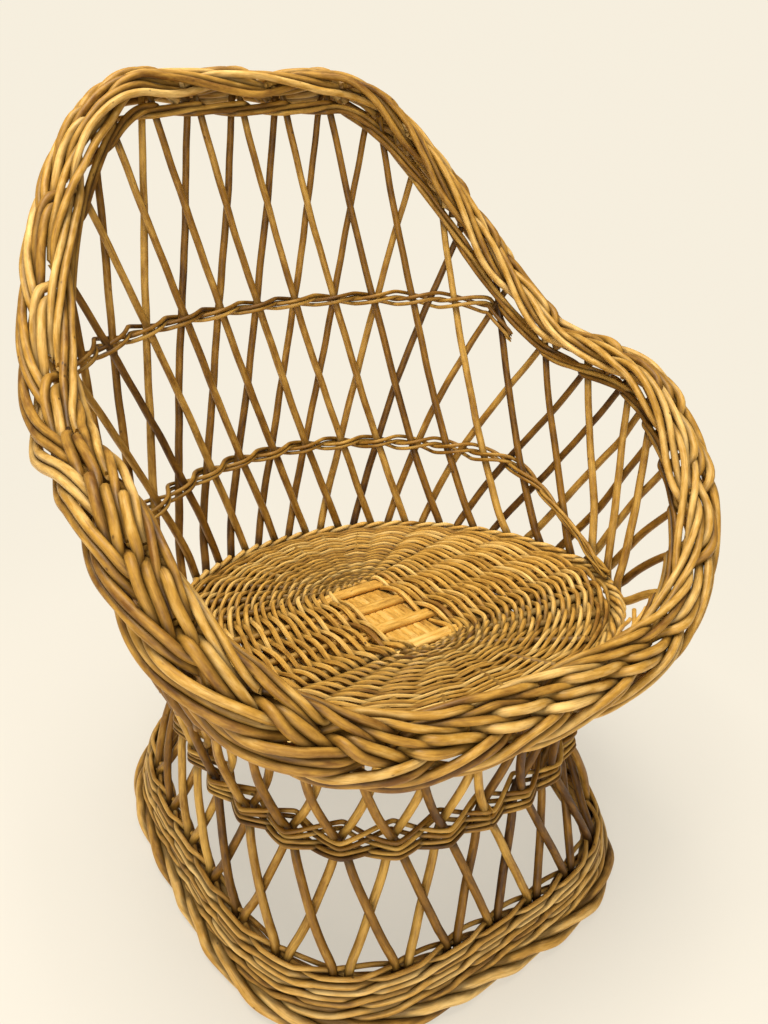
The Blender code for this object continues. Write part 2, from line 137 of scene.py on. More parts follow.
# Base surface: height share -1 is the floor, 0 the top of the foot band, 1 the waist, 1.5 the seat hoop
base = {
    "foot": (0.15555, 0.16915, 3.4, 0.0),  # half width, half depth, squareness and height of the stakes' ring
    "band": (0.14695, 0.16065, 3.4, 0.0436),
    "waist": (0.1357, 0.1337, 2.4, 0.130),
    "middleY": -0.01565,
    "waistSag": (0.0045, 0.0050),  # how far the waist reaches out and down at the front
    "hoopInset": 0.0080,
    "hoopDrop": 0.0082,
    "step": 0.01,
    "top": 1.49,  # highest share whose slope is taken
}


def hoopPoint(angle):
    return wallSpot(angle, 0.0, -base["hoopInset"])


def basePlan(angle, ring):
    half, depth, square, height = ring
    across, along, size = squareRound(angle, square)
    y = base["middleY"] - depth * along / size
    return np.stack([half * across / size, y, height + 0 * size], axis=-1)


def basePoint(angle, rise):
    rise = np.broadcast_to(rise, np.shape(angle))[..., None]
    floor = basePlan(angle, base["foot"])
    band = basePlan(angle, base["band"])
    front = (1 + np.cos(angle))[..., None] / 2
    waist = basePlan(angle, base["waist"]) - front * np.array([0, *base["waistSag"]])
    top = hoopPoint(math.pi - angle) - np.array([0, 0, base["hoopDrop"]])
    low = band + (floor - band) * np.clip(-rise, 0, 1)
    middle = low + (waist - band) * np.clip(rise, 0, 1)
    return middle + (top - waist) * np.clip(2 * rise - 2, 0, 1)


def baseSpot(angle, rise, out):
    angle = np.asarray(angle, float)
    rise = np.broadcast_to(rise, angle.shape)
    step, top = base["step"], base["top"]
    along = basePoint(angle + step, rise) - basePoint(angle - step, rise)
    up = basePoint(angle, np.minimum(rise + step, top)) - basePoint(angle, np.minimum(rise, top) - step)
    normal = unit(np.cross(along, up))
    return basePoint(angle, rise) + normal * np.broadcast_to(out, angle.shape)[..., None]


# Willow rods: a centreline with a thickness at each point, which never lies quite straight
rodLook = {
    "waver": 0.00035,  # how far a rod strays from its line
    "waves": (0.16, 0.07, 0.035),  # lengths of its bends
    "calmer": 0.7,  # how fast shorter bends get smaller
    "swell": 0.035,  # how much its thickness varies
    "cut": 0.0006,  # chamfer of a cut end
    "sharp": math.radians(50),
    "farApart": 40,  # no two rods share a stretch of grain
}


# Smooth way through key points, in even steps
def throughKeys(keys, step):
    keys = np.asarray(keys, float)
    chord = np.linalg.norm(np.diff(keys[:, :3], axis=0), axis=1)
    reached = np.concatenate([[0], np.cumsum(chord)])
    slope = np.diff(keys, axis=0) / chord[:, None]
    inner = (slope[:-1] * chord[1:, None] + slope[1:] * chord[:-1, None]) / (chord[1:] + chord[:-1])[:, None]
    lean = np.concatenate([slope[:1], inner, slope[-1:]])
    count = max(round(reached[-1] / step), 3)
    spots = np.linspace(0.0, reached[-1], count + 1)
    i = np.clip(np.searchsorted(reached, spots, side="right") - 1, 0, len(chord) - 1)
    share = ((spots - reached[i]) / chord[i])[:, None]
    span = chord[i][:, None]
    square, cube = share ** 2, share ** 3
    return (
        (2 * cube - 3 * square + 1) * keys[i] + (cube - 2 * square + share) * span * lean[i]
        + (3 * square - 2 * cube) * keys[i + 1] + (cube - square) * span * lean[i + 1]
    )


def waver(count, length, reach, closed):
    waves = 0
    longest = rodLook["waves"][0]
    for wavelength in rodLook["waves"]:
        cycles = max(length / wavelength, 1)
        cycles = round(cycles) if closed else cycles
        phase = chance.uniform(0, fullTurn, (1, 3))
        run = np.arange(count)[:, None] / count
        waves = waves + np.sin(fullTurn * cycles * run + phase) * (wavelength / longest) ** rodLook["calmer"]
    return waves * reach


def makeRod(spots, diameter, closed=False, taper=(1.0, 1.0), stray=1.0):
    spots = np.asarray(spots, float)
    count = len(spots)
    length = np.linalg.norm(np.diff(spots, axis=0), axis=1).sum()
    spots = spots + waver(count, length, rodLook["waver"] * stray, closed)
    thick = np.asarray(diameter) / 2 * np.linspace(*taper, count)
    thick = thick * (1 + waver(count, length, rodLook["swell"] / 2, closed)[:, 0])
    if not closed:
        for end, back in ((0, 1), (-1, -2)):
            inward = unit(spots[back] - spots[end])
            spots = np.insert(spots, 1 if end == 0 else count, spots[end] + inward * rodLook["cut"], axis=0)
            thick = np.insert(thick, 1 if end == 0 else count, thick[end])
            count += 1
            thick[end] -= rodLook["cut"]
    return {"spots": spots, "thick": thick, "closed": closed, "tint": chance.uniform(0, 1)}


# A wale rod's way round the stakes: out 1 on its long slanting run, -1 where it passes behind
def walePath(turns, hold):
    share = turns % 1
    middle = (1 + hold) / 2
    behind = smooth(hold, middle, share) * (1 - smooth(middle, 1, share))
    rise = np.where(share < hold, 2 * share / hold - 1, 1 - 2 * smooth(hold, 1, share))
    return 1 - 2 * behind, rise


# A cosine drawn towards a zigzag with slightly blunt tips
def pointed(phase, edge):
    wave = np.cos(phase)
    return wave * (1 - edge) + np.arcsin(wave * 0.99) * 2 / math.pi * edge


def rodTree(spots):
    tree = kdtree.KDTree(len(spots))
    for i, spot in enumerate(spots):
        tree.insert(spot, i)
    tree.balance()
    return tree


# Rods that share a bundle press each other aside until none cuts into another
settling = {
    "near": 2.4,  # how far to look for neighbours, in half thicknesses
    "renew": 6,  # rounds between two searches for neighbours
    "push": 1.2,
    "hold": 0.02,  # share of a shift that springs back each round
    "tiny": 1e-6,
}


def settleRods(rods, rounds, soft):
    home = np.concatenate([rod["spots"] for rod in rods])
    thick = np.concatenate([rod["thick"] for rod in rods])
    counts = [len(rod["spots"]) for rod in rods]
    owner = np.repeat(np.arange(len(rods)), counts)
    firsts = np.cumsum([0] + counts)
    before = np.arange(len(home)) - 1
    after = np.arange(len(home)) + 1
    for rod, first, last in zip(rods, firsts, firsts[1:]):
        before[first] = last - 1 if rod["closed"] else first
        after[last - 1] = first if rod["closed"] else last - 1
    shift = np.zeros_like(home)
    for n in range(rounds):
        spots = home + shift
        if n % settling["renew"] == 0:
            tree = rodTree(spots)
            near = [
                (i, j) for i, spot in enumerate(spots)
                for _, j, _ in tree.find_range(spot, settling["near"] * thick[i]) if owner[j] > owner[i]
            ]
            one, two = np.array(near).T
        apart = spots[one] - spots[two]
        far = np.linalg.norm(apart, axis=1)
        push = np.clip(thick[one] + thick[two] - far, 0, None) / 2 / np.maximum(far, settling["tiny"])
        move = np.zeros_like(home)
        share = np.full(len(home), settling["tiny"])
        pressed = (push > 0).astype(float)
        np.add.at(move, one, apart * push[:, None])
        np.add.at(move, two, -apart * push[:, None])
        np.add.at(share, one, pressed)
        np.add.at(share, two, pressed)
        shift = shift + move / np.maximum(share, 1)[:, None] * settling["push"]
        for _ in range(soft):
            shift = shift * 0.5 + (shift[before] + shift[after]) * 0.25
        shift = shift * (1 - settling["hold"])
    settled = np.split(home + shift, firsts[1:-1])
    for rod, spots in zip(rods, settled):
        rod["spots"] = spots


def curveMesh(name, curve):
    holder = bpy.data.objects.new(name, curve)
    bpy.context.scene.collection.objects.link(holder)
    bpy.context.view_layer.update()
    mesh = bpy.data.meshes.new_from_object(holder)
    bpy.data.objects.remove(holder)
    bpy.data.curves.remove(curve)
    mesh.name = name
    return mesh


# Rods become one mesh: a bevelled curve, with each rod's own straightened place kept for its grain
def rodMesh(name, rods, sides):
    curve = bpy.data.curves.new(name, "CURVE")
    curve.dimensions = "3D"
    curve.bevel_depth = 1.0
    curve.bevel_resolution = (sides - 4) // 2
    curve.use_fill_caps = False
    for rod in rods:
        spline = curve.splines.new("POLY")
        spline.points.add(len(rod["spots"]) - 1)
        spline.points.foreach_set("co", np.c_[rod["spots"], np.ones(len(rod["spots"]))].ravel())
        spline.points.foreach_set("radius", rod["thick"])
        spline.use_cyclic_u = rod["closed"]
    return curveMesh(name, curve)


def markRods(mesh, places, tints):
    mesh.attributes.new("rodPlace", "FLOAT_VECTOR", "POINT").data.foreach_set("vector", places.ravel())
    mesh.attributes.new("tint", "FLOAT", "POINT").data.foreach_set("value", tints)


def addRodPlaces(mesh, rods, sides):
    turns = fullTurn * np.arange(sides) / sides
    places, tints = [], []
    for rod in rods:
        steps = np.linalg.norm(np.diff(rod["spots"], axis=0), axis=1)
        along = np.concatenate([[0], np.cumsum(steps)])
        if rod["closed"]:
            along = np.minimum(along, along[-1] - along)  # there and back, so the grain has no seam
        along = along + chance.uniform(0, rodLook["farApart"])
        ring = rod["thick"][:, None]
        length = along[:, None] + 0 * ring * turns
        place = np.stack([length, ring * np.cos(turns), ring * np.sin(turns)], axis=-1)
        places.append(place.reshape(-1, 3))
        tints.append(np.full(len(places[-1]), rod["tint"]))
    places = np.concatenate(places)
    if len(places) != len(mesh.vertices):
        raise ValueError(f"{mesh.name}: {len(places)} rod places for {len(mesh.vertices)} points")
    markRods(mesh, places, np.concatenate(tints))


woven = []  # every rod with its mesh, for the painted shade in the crevices


def addPiece(name, rods, nodes, finish, sides=8):
    mesh = rodMesh(name, rods, sides)
    addRodPlaces(mesh, rods, sides)
    woven.append((mesh, rods, sides))
    shape = bmesh.new()
    shape.from_mesh(mesh)
    rims = [edge for edge in shape.edges if edge.is_boundary]
    if rims:
        bmesh.ops.holes_fill(shape, edges=rims, sides=sides)
        bmesh.ops.recalc_face_normals(shape, faces=shape.faces[:])
    shape.to_mesh(mesh)
    shape.free()
    mesh.set_sharp_from_angle(angle=rodLook["sharp"])
    placePiece(name, mesh, nodes, finish)


def placePiece(name, mesh, nodes, finish):
    mesh.materials.clear()
    mesh.materials.append(finishes[finish])
    piece = bpy.data.objects.new(name, mesh)
    bpy.context.scene.collection.objects.link(piece)
    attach(piece, "root")
    if nodes:
        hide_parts(*nodes)


# Painted shade where rods lie close: each point is darkened by the rods it faces, in place of the shade that
# falls in the crevices
crevice = {"reach": 0.0050, "strength": 0.46, "facing": 0.25, "most": 0.70}


def shadeCrevices():
    rods = [rod for _, group, _ in woven for rod in group]
    spots = np.concatenate([rod["spots"] for rod in rods])
    thick = np.concatenate([rod["thick"] for rod in rods])
    owner = np.repeat(np.arange(len(rods)), [len(rod["spots"]) for rod in rods])
    tree = rodTree(spots)
    first = 0
    for mesh, group, sides in woven:
        count = sum(len(rod["spots"]) for rod in group)
        near = [
            (i - first, j) for i in range(first, first + count)
            for _, j, _ in tree.find_range(spots[i], thick[i] + crevice["reach"]) if owner[j] != owner[i]
        ]
        ring, other = np.array(near).T
        points = np.empty(len(mesh.vertices) * 3)
        mesh.vertices.foreach_get("co", points)
        points = points.reshape(-1, 3)[:count * sides].reshape(count, sides, 3)
        facing = unit(points - spots[first:first + count, None])
        toward = spots[other] - points[ring].mean(axis=1)
        far = np.linalg.norm(toward, axis=1, keepdims=True)
        gap = np.clip(far[:, 0] - thick[other] - thick[first + ring], 0, None)
        cover = np.clip(1 - gap / crevice["reach"], 0, 1) ** 2 * crevice["strength"]
        look = np.einsum("ijk,ik->ij", facing[ring], toward / far)
        dark = np.clip((look - crevice["facing"]) / (1 - crevice["facing"]), 0, 1) * cover[:, None]
        bright = np.zeros((count, sides))
        np.add.at(bright, ring, np.log(1 - dark))
        shade = np.zeros(len(mesh.vertices))
        shade[:count * sides] = np.minimum(1 - np.exp(bright), crevice["most"]).ravel()
        mesh.attributes.new("shade", "FLOAT", "POINT").data.foreach_set("value", shade)
        first += count


# Shader sockets that take part in plain sums
class Value:
    def __init__(self, sheet, socket):
        self.sheet = sheet
        self.socket = socket

    def calc(self, operation, first, second):
        return self.sheet.node("ShaderNodeMath", {"operation": operation}, {0: first, 1: second})

    def __add__(self, other):
        return self.calc("ADD", self, other)

    def __radd__(self, other):
        return self.calc("ADD", other, self)

    def __sub__(self, other):
        return self.calc("SUBTRACT", self, other)

    def __rsub__(self, other):
        return self.calc("SUBTRACT", other, self)

    def __mul__(self, other):
        return self.calc("MULTIPLY", self, other)


class Sheet:
    def __init__(self, tree):
        self.tree = tree
        self.tree.nodes.clear()

    def node(self, kind, settings, sockets, output=0):
        made = self.tree.nodes.new(kind)
        for key, value in settings.items():
            if key == "stops":
                while len(made.color_ramp.elements) < len(value):
                    made.color_ramp.elements.new(1.0)
                for element, (place, colour) in zip(made.color_ramp.elements, value):
                    element.position = place
                    element.color = (*colour, 1.0)
            else:
                setattr(made, key, value)
        for key, value in sockets.items():
            if isinstance(value, Value):
                self.tree.links.new(value.socket, made.inputs[key])
            else:
                made.inputs[key].default_value = value
        return Value(self, made.outputs[output]) if made.outputs else made


# Peeled willow under honey varnish: linear colours from its darkest to its palest rods
willow = {
    "plait_willow": {
        "deep": (0.152, 0.061, 0.007),
        "middle": (0.460, 0.242, 0.036),
        "pale": (0.770, 0.510, 0.175),
        "vary": 0.40,
    },
    "stake_willow": {
        "deep": (0.070, 0.027, 0.003),
        "middle": (0.258, 0.118, 0.011),
        "pale": (0.590, 0.340, 0.066),
        "vary": 0.60,
    },
    "seat_willow": {
        "deep": (0.240, 0.106, 0.014),
        "middle": (0.640, 0.350, 0.062),
        "pale": (0.850, 0.570, 0.190),
        "vary": 0.50,
    },
    "foot_willow": {
        "deep": (0.220, 0.098, 0.014),
        "middle": (0.570, 0.310, 0.058),
        "pale": (0.810, 0.540, 0.190),
        "vary": 0.50,
    },
}
ramp = (0.12, 0.5, 0.9)  # tones of the darkest, middle and palest colour
paintedShadeLevel = 0.06  # brightness of the deepest painted crevice shade against the darkest colour
wood = {
    "grain": ((45, 1100, 1100), 3.0),  # scale along and across the rod, detail
    "mottle": ((75, 260, 260), 5.0),
    "drift": ((7, 30, 30), 2.0),
    "mottleShare": 1.05,
    "driftShare": 0.8,
    "fibre": (0.30, 0.50),
    "fibreDepth": 0.45,
    "noiseRough": 0.6,
}
knot = {
    "cells": (95, 150, 150),
    "size": (0.05, 0.16),
    "places": ((60, 60, 60), 1.0),
    "rare": (0.53, 0.58),
    "depth": 0.85,
    "colour": (0.055, 0.024, 0.009),
}
relief = {"grain": 0.5, "mottle": 0.35, "knots": 0.6, "strength": 0.35, "distance": 0.0005}
varnish = {
    "rough": 0.52, "roughMottle": 0.3, "roughFibre": 0.08, "coat": 0.05, "coatRough": 0.30, "gloss": 0.25,
}


def makeWillow(name, look):
    material = bpy.data.materials.new(name)
    material.use_nodes = True
    sheet = Sheet(material.node_tree)
    place = sheet.node("ShaderNodeAttribute", {"attribute_name": "rodPlace"}, {}, "Vector")
    tint = sheet.node("ShaderNodeAttribute", {"attribute_name": "tint"}, {}, "Fac")
    shade = sheet.node("ShaderNodeAttribute", {"attribute_name": "shade"}, {}, "Fac")

    def stretched(scale):
        return sheet.node("ShaderNodeVectorMath", {"operation": "MULTIPLY"}, {0: place, 1: scale})

    def noise(scale, detail):
        sockets = {
            "Vector": stretched(scale), "Scale": 1.0, "Detail": detail, "Roughness": wood["noiseRough"],
        }
        return sheet.node("ShaderNodeTexNoise", {}, sockets)

    def blend(factor, first, second):
        return sheet.node("ShaderNodeMix", {"data_type": "RGBA"}, {0: factor, 6: first, 7: (*second, 1.0)}, 2)

    def band(value, low, high):
        settings = {"interpolation_type": "SMOOTHSTEP"}
        return sheet.node("ShaderNodeMapRange", settings, {"Value": value, "From Min": low, "From Max": high})

    grain = noise(*wood["grain"])
    mottle = noise(*wood["mottle"])
    drift = noise(*wood["drift"])
    tone = 0.5 + (mottle - 0.5) * wood["mottleShare"] + (drift - 0.5) * wood["driftShare"]
    tone = tone + (tint - 0.5) * look["vary"]
    stops = list(zip(ramp, (look["deep"], look["middle"], look["pale"])))
    colour = sheet.node("ShaderNodeValToRGB", {"stops": stops}, {"Fac": tone})
    fibre = band(grain, *wood["fibre"])
    colour = blend((1 - fibre) * wood["fibreDepth"], colour, look["deep"])
    cells = sheet.node("ShaderNodeTexVoronoi", {}, {
        "Vector": stretched(knot["cells"]), "Scale": 1.0, "Randomness": 1.0,
    })
    knots = (1 - band(cells, *knot["size"])) * band(noise(*knot["places"]), *knot["rare"])
    colour = blend(knots * knot["depth"], colour, knot["colour"])
    # Painted shade: each point darkens towards the darkest colour by how closely it faces other rods
    colour = blend(shade, colour, [part * paintedShadeLevel for part in look["deep"]])
    height = grain * relief["grain"] + mottle * relief["mottle"] - knots * relief["knots"]
    normal = sheet.node("ShaderNodeBump", {}, {
        "Strength": relief["strength"], "Distance": relief["distance"], "Height": height,
    })
    rough = varnish["rough"] + (mottle - 0.5) * varnish["roughMottle"] + (1 - fibre) * varnish["roughFibre"]
    shader = sheet.node("ShaderNodeBsdfPrincipled", {}, {
        "Base Color": colour, "Roughness": rough, "Normal": normal,
        "Coat Weight": varnish["coat"], "Coat Roughness": varnish["coatRough"],
        "Specular IOR Level": varnish["gloss"],
    })
    sheet.node("ShaderNodeOutputMaterial", {}, {"Surface": shader})
    return material


finishes = {name: makeWillow(name, look) for name, look in willow.items()}
print("finishes:", ", ".join(finishes))


# Stakes of the back and arms: pairs that lean apart and cross their neighbours
stakes = {
    "pairs": 25,
    "spacing": math.radians(10),
    "diameter": 0.0061,
    "taper": (1.05, 0.82),
    "start": 0.15,  # lean at the seat, in spacings
    "lean": (3.95, 1.10),
    "armLean": 0.70,  # share of the lean in the arms, where the wall is lower
    "armTurn": (50, 95),
    "layer": 0.0034,
    "foot": 0.003,  # length below the seat ring
    "tuck": 0.004,  # how far under the rim's centre the tips end
    "part": 0.12,  # height share by which the two rods of a pair lie in their layers
    "tries": 400,  # heights tried for a tip
    "keys": 24,
    "step": 0.006,
    "stray": 0.8,
}


def stakeLean(rise, middle):
    share = 1 - (1 - stakes["armLean"]) * smooth(*stakes["armTurn"], math.degrees(abs(middle)))
    return stakes["start"] + share * (stakes["lean"][0] * rise - stakes["lean"][1] * rise ** 2)


def stakeTip(middle, side):
    rise = np.linspace(0, 1, stakes["tries"])
    angle = middle + side * stakes["spacing"] * stakeLean(rise, middle)
    return rise[rise < riseUnderRim(angle, stakes["tuck"])][-1]


def stakeRod(middle, side):
    wall = np.linalg.norm(rimPoint(middle) - seatPoint(middle))
    rise = np.linspace(-stakes["foot"] / wall, stakeTip(middle, side), stakes["keys"])
    angle = middle + side * stakes["spacing"] * stakeLean(np.clip(rise, 0, 1), middle)
    out = side * stakes["layer"] * smooth(0.0, stakes["part"], rise)
    spots = throughKeys(wallSpot(angle, rise, out), stakes["step"])
    return makeRod(spots, stakes["diameter"], taper=stakes["taper"], stray=stakes["stray"])


for i in range(stakes["pairs"]):
    middle = (i - (stakes["pairs"] - 1) / 2) * stakes["spacing"]
    rods = [stakeRod(middle, side) for side in (-1, 1)]
    addPiece(f"stakePair_{i + 1:02d}", rods, [f"upper_stake_pair_{i + 1:02d}"], "stake_willow", sides=10)
print("stakes:", stakes["pairs"], "pairs")


# Border: doubled rods that rise, kink over, run out, cross back and tuck in at the inner edge
border = {
    "kinks": [  # angles of the kinks along the left arm, the front and the right arm
        -66.7, -78.4, -93.3, -107.6, -120.5, -133.7, -143.8, -154.4, -168.2, -180.7, -197.4, -210.0,
        -227.5, -242.4, -257.8,
    ],
    "backKinks": 11,
    "strands": 3,
    "diameter": 0.0054,
    "taper": (1.12, 0.86),
    "triples": 0.15,  # share of the bundles that have three rods
    "stray": 0.7,  # millimetres that a bundle strays from the path
    "strayKeys": 6,
    "stagger": 0.13,  # how far along the next rod of a bundle starts
    "step": 3.2,
    "settle": 60,
    "quickSettle": 12,
    "soft": 3,
    "ease": 11,  # points over which a bundle's way is evened out after its kink
    "easeFrom": (0.2, 0.6),
    "even": 7,  # places over which the uneven kinks are averaged
    "lap": (2, 8),  # kinks repeated before the first and after the last
    # run along the rim in units, out and up in millimetres, tilt of the bundle in degrees
    "path": [
        (-0.26, -4.6, -9.5, 0), (-0.15, -4.2, -3.5, 0), (-0.06, -3.6, 2.6, 0), (0.00, -3.0, 6.6, 0),
        (0.07, -2.4, 7.9, 0), (0.28, -1.2, 8.0, 2), (0.50, 0.4, 6.8, 6), (0.68, 1.8, 3.8, 14),
        (0.84, 3.4, 0.2, 28), (1.02, 6.2, -2.8, 42), (1.22, 10.6, -5.2, 56), (1.42, 14.4, -6.0, 68),
        (1.64, 16.6, -5.0, 72), (1.86, 16.6, -2.6, 64), (2.08, 15.2, -0.2, 52), (2.30, 13.0, 2.2, 40),
        (2.52, 10.6, 4.4, 28), (2.74, 8.0, 5.8, 18), (2.94, 5.6, 5.4, 10), (3.08, 3.4, 3.2, 4),
        (3.22, 0.8, 0.4, 0), (3.42, -3.4, -2.8, -6), (3.68, -8.4, -4.8, -20), (3.95, -12.2, -3.6, -40),
        (4.25, -14.2, -0.2, -46), (4.55, -14.2, 3.2, -38), (4.85, -12.8, 5.6, -24), (5.12, -10.8, 6.4, -12),
        (5.36, -8.8, 6.0, -4), (5.54, -7.2, 3.4, 0), (5.70, -5.6, -2.4, 0),
    ],
}


def borderRuns():
    turns = np.radians(border["kinks"])
    seen = np.interp(-turns, rimAngles, rimReached)  # travels from the left arm to the front
    step = (seen[0] + rimLength - seen[-1]) / (border["backKinks"] + 1)
    return np.concatenate([seen, seen[-1] + step * np.arange(1, border["backKinks"] + 1)])


borderStarts = borderRuns()
borderUnits = len(borderStarts)
lapBefore, lapAfter = border["lap"]
borderLoops = np.concatenate([
    borderStarts[-lapBefore:] - rimLength, borderStarts, borderStarts[:lapAfter] + rimLength,
])


def borderRun(units):
    near = np.linspace(-0.5, 0.5, border["even"])[:, None]
    return np.interp(units + near, np.arange(len(borderLoops)) - lapBefore, borderLoops).mean(axis=0)


def borderAngle(run):
    return -np.interp(run % rimLength, rimReached, rimAngles)


def borderBundle(number):
    keys = np.array(border["path"], float)
    pitch = rimLength / borderUnits * 1000  # in millimetres, as the path is
    keys[:, 0] *= pitch
    drift = chance.uniform(-border["stray"], border["stray"], (border["strayKeys"], 2))
    knots = np.linspace(0, len(keys) - 1, len(drift))
    keys[:, 1:3] += np.stack([np.interp(np.arange(len(keys)), knots, part) for part in drift.T], axis=-1)
    fine = throughKeys(keys, border["step"])
    window = np.hanning(border["ease"] + 2)[1:-1]
    padded = np.pad(fine, ((border["ease"] // 2,) * 2, (0, 0)), mode="edge")
    eased = np.stack([np.convolve(part, window / window.sum(), "valid") for part in padded.T], axis=-1)
    fine[:, 1:] += (eased - fine)[:, 1:] * smooth(*border["easeFrom"], fine[:, :1] / pitch)
    swing, lift = fine[:, 1:3].T[..., None] / 1000
    tilt = np.radians(fine[:, 3:])
    thick = border["diameter"]
    rods = []
    for place in (-1, 0, 1) if chance.uniform() < border["triples"] else (-0.5, 0.5):
        units = number + fine[:, 0] / pitch + place * border["stagger"]
        spot, _, up, out, _ = rimFrame(borderAngle(borderRun(units)))
        middle = spot + out * swing + up * lift
        travel = unit(np.gradient(middle, axis=0))
        aside = up * np.sin(tilt) - out * np.cos(tilt)
        aside = unit(aside - travel * np.sum(aside * travel, axis=1, keepdims=True))
        rods.append(makeRod(middle + aside * place * thick, thick, taper=border["taper"]))
    return rods


plait = [borderBundle(i) for i in range(borderUnits)]
rounds = border["settle"]
settleRods([rod for bundle in plait for rod in bundle], rounds, border["soft"])
for i in range(border["strands"]):
    rods = [rod for bundle in plait[i::border["strands"]] for rod in bundle]
    addPiece(f"borderStrand_{i + 1}", rods, [f"border_strand_{i + 1}"], "plait_willow", sides=10)
print("border:", len(plait), "bundles")


# Collar: a three-rod wale under the border, inside two stakes and outside one
collar = {
    "rods": 3, "turns": 12, "hold": 0.66, "points": 1080,
    "diameter": 0.0040, "drop": 0.0155, "out": 0.0076, "high": 0.0032,
}
angle = np.linspace(0, fullTurn, collar["points"], endpoint=False)
rods = []
for i in range(collar["rods"]):
    out, rise = walePath(collar["turns"] * angle / fullTurn + i / collar["rods"], collar["hold"])
    level = riseUnderRim(angle, collar["drop"] - collar["high"] * rise)
    rods.append(makeRod(wallSpot(angle, level, -collar["out"] * out), collar["diameter"], closed=True))
addPiece("collar", rods, ["collar_strand_inner", "collar_strand_outer"], "stake_willow")


# Fitches: two pairs of thin rods that change sides at every crossing of the stakes
fitches = {
    # turns from the back at which a row ends, falls to the seat's edge and goes to the inside
    "upper": {"height": 0.377, "end": 62, "fall": None, "inside": (56, 62)},
    "lower": {"height": 0.261, "end": 112, "fall": (60, 110), "inside": (64, 84)},
    "diameter": 0.0031,
    "out": 0.0080,
    "high": 0.0024,
    "highInside": 0.5,
    "point": 0.7,
    "edge": 0.0085,
    "underCollar": 0.026,
    "keys": 4,  # for each degree up to the end
    "step": 0.003,
    "stray": 0.6,
}


def fitchRise(angle, row):
    low = seatPoint(angle)[..., 2]
    level = (row["height"] - low) / (rimPoint(angle)[..., 2] - low)
    level = np.minimum(level, riseUnderRim(angle, fitches["underCollar"]))
    if row["fall"]:
        edge = fitches["edge"] / wallHeight(angle)
        level = level + (edge - level) * smooth(*row["fall"], np.degrees(np.abs(angle)))
    return level


def fitchRods(row):
    end = math.radians(row["end"])
    angle = np.linspace(-end, end, row["end"] * fitches["keys"])
    phase = math.pi * angle / stakes["spacing"]
    wall = wallHeight(angle)
    inside = smooth(*row["inside"], np.degrees(np.abs(angle)))
    rods = []
    for turn in (0, math.pi):
        for side in (-1, 1):
            lift = -fitches["high"] * pointed(phase + turn - math.pi / 2, fitches["point"])
            lift = lift * (1 - fitches["highInside"] * inside) + side * fitches["diameter"] / 2
            out = fitches["out"] * (np.cos(phase + turn) * (1 - inside) - inside)
            spots = throughKeys(wallSpot(angle, fitchRise(angle, row) + lift / wall, out), fitches["step"])
            rods.append(makeRod(spots, fitches["diameter"], stray=fitches["stray"]))
    return rods


for row in ("upper", "lower"):
    nodes = [f"{row}_fitch_inner", f"{row}_fitch_outer"]
    addPiece(f"{row}Fitch", fitchRods(fitches[row]), nodes, "stake_willow")
print("collar and fitches")


# Seat: flat sticks bare at the middle, fine weavers round them out to the hoop
seat = {
    "window": (0.0160, 0.0520, 6.0),  # half width, half length, squareness
    "windowShift": -0.0120,  # towards the front
    "spread": 2.8,  # how far the side spokes start apart along the window
    "spokes": 26,
    "spoke": {
        "diameter": 0.0056, "taper": (0.45, 1.1), "stray": 0.5, "reach": (-0.03, 0.985), "points": 40,
        "lift": 0.0006, "sunk": 0.0030,  # sunk under the weave where the spokes crowd
    },
    "calm": 0.45,  # how much flatter the weave is in front of and behind the window
    "calmFrom": (0.6, 0.95),
    "edgeCalm": 0.5,  # how much flatter it is over the hoop
    "edgeFrom": (1.0, 1.06),
    "rows": 38,
    "extraRows": 2,  # rows over the hoop, up to the stakes
    "weaver": (0.0024, 0.0036),  # thinnest where the rows crowd, thickest where they spread
    "weaverFill": 1.08,  # thickness against the pitch of the rows
    "weaverVary": (0.88, 1.06),
    "weaverStray": 0.6,
    "steps": 312,
    "under": {"rows": 26, "first": 0.6, "diameter": 0.0054, "drop": 0.0052, "over": 0.0012},
    "wobble": 0.0045,
    "wobbleWaves": (2, 5, 9),
    "over": 0.0038,
    "leastOver": 0.25,
    "openSpacing": 0.026,  # spokes this far apart let the weavers take their full swing
    "raise": 0.0023,
    "edgeInset": 0.0048,
    "longSticks": {"count": 6, "nodes": 4, "pitch": 0.0056, "reach": 0.060, "wide": 0.0058, "lift": -0.0010},
    "crossSticks": {"count": 4, "pitch": 0.0300, "reach": 0.036, "wide": 0.0046, "lift": 0.0026},
    "stickThick": 0.0038,
    "stickEdge": 0.4,  # share of the thickness that the rounded edges take up
    "stickDip": 4,  # how late the ends dip
    "stickPoints": 12,
    "stickWeld": 1e-6,
    "stickTint": (0.2, 0.8),
}
hoopSide = hoopPoint(math.pi / 2)
seatMiddle = np.array([0.0, (hoopPoint(0.0)[1] + hoopPoint(math.pi)[1]) / 2, 0.0])
seatMiddle[2] = seatLevel(seatMiddle[1]) + hoopSide[2] - seatLevel(hoopSide[1])
spokeShift = (tub["seat"][1] - tub["seat"][2]) / 2 / tub["seat"][0]


def seatSpot(turn, share, lift):
    half, length, square = seat["window"]
    across, along = np.sin(turn), np.cos(turn) * seat["spread"]
    size = (np.abs(across) ** square + np.abs(along) ** square) ** (1 / square)
    near = np.stack([half * across / size, length * along / size + seat["windowShift"]], axis=-1)
    hoop = hoopPoint(turn - spokeShift * np.sin(turn))[..., :2] - seatMiddle[:2]
    far = hoop * (1 - seat["edgeInset"] / np.linalg.norm(hoop, axis=-1, keepdims=True))
    flat = near + (far - near) * np.asarray(share)[..., None]
    height = seatMiddle[2] - tub["seatSlope"] * flat[..., 1] + seat["raise"] + lift
    return np.stack([flat[..., 0], seatMiddle[1] + flat[..., 1], height], axis=-1)


